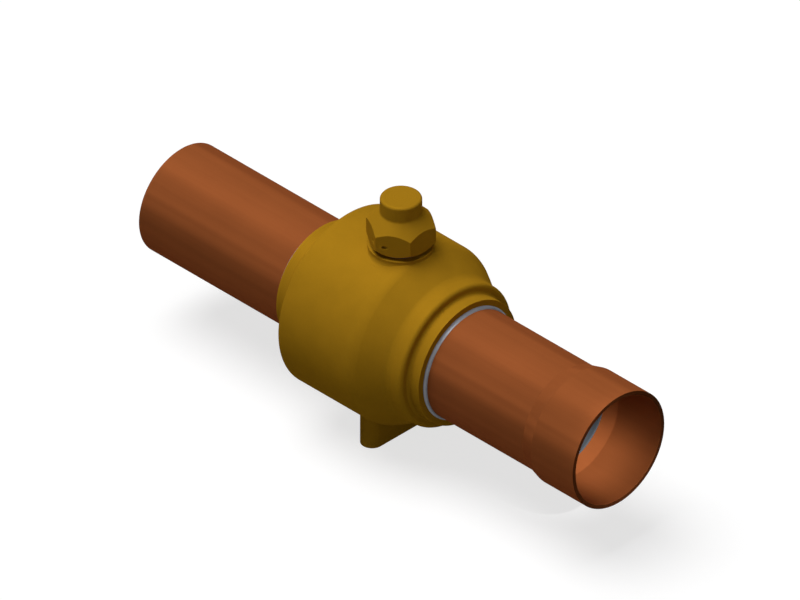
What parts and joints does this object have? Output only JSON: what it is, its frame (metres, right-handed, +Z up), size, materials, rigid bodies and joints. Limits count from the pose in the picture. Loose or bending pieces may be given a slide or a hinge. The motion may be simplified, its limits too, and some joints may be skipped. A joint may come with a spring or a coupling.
{
  "type": "shut-off ball valve",
  "caption": "Shut-off ball valve for copper refrigeration pipe: forged brass body on a foot, hexagon seal cap over the stem, a plain copper stub and a socketed one.",
  "frame": {"origin": "middle of the foot's underside, under the crossing of the stem axis and the pipe axis", "axes": "+X along the pipe to the socket mouth, +Z up the stem to the cap, +Y across; the pipe axis lies at Z = 55 mm"},
  "size_m": [0.2767, 0.0886, 0.125],
  "materials": {
    "body_brass": "forged, lightly blasted, with machined faces",
    "connector_brass": "turned, satin",
    "cap_brass": "turned and milled, satin",
    "outlet_copper": "copper, drawn, satin",
    "inlet_copper": "copper, drawn, satin",
    "sleeve_steel": "dark steel, drawn",
    "solder": "silver braze, flowed",
    "ball_plating": "plated and polished",
    "seat_plastic": "waxy white fluoropolymer",
    "black_rubber": "moulded",
    "stem_steel": "turned",
    "clip_steel": "blackened spring steel",
    "gasket_grey": "grey sealing disc"
  },
  "bodies": {
    "valve": {"valve_body": "body_brass", "end_connector": "connector_brass", "outlet_tube": "outlet_copper", "inlet_tube": "inlet_copper", "outlet_sleeve": "sleeve_steel", "inlet_sleeve": "sleeve_steel", "outlet_braze_ring": "solder", "inlet_braze_ring": "solder", "connector_o_ring": "black_rubber", "outlet_seat": "seat_plastic", "inlet_seat": "seat_plastic", "outlet_seat_spring": "black_rubber", "inlet_seat_spring": "black_rubber", "thrust_washer": "seat_plastic", "stop_pin": "stem_steel"},
    "ball": {"ball": "ball_plating"},
    "spindle": {"stem": "stem_steel", "stem_o_ring_lower": "black_rubber", "stem_o_ring_upper": "black_rubber", "stop_plate": "stem_steel", "stem_circlip": "clip_steel"},
    "gasket": {"cap_gasket": "gasket_grey"},
    "cap": {"cap": "cap_brass"}
  },
  "joints": [
    {"name": "ball_turn", "type": "hinge", "parent": "valve", "child": "ball", "pos_m": [0, 0, 0.055], "axis": [0, 0, 1], "range_deg": [0, 90]},
    {"name": "stem_turn", "type": "hinge", "parent": "valve", "child": "spindle", "pos_m": [0, 0, 0.105], "axis": [0, 0, 1], "range_deg": [0, 90]},
    {"name": "cap_lift", "type": "slide", "parent": "valve", "child": "gasket", "axis": [0, 0, 1], "range_m": [0, 0.024]},
    {"name": "cap_turn", "type": "hinge", "parent": "gasket", "child": "cap", "pos_m": [0, 0, 0.105], "axis": [0, 0, 1], "range_deg": [0, 5760]}
  ],
  "couplings": [
    {"joint": "stem_turn", "follows": "ball_turn", "ratio": 1},
    {"joint": "cap_turn", "follows": "cap_lift", "rad_per_m": 4188.8}
  ]
}
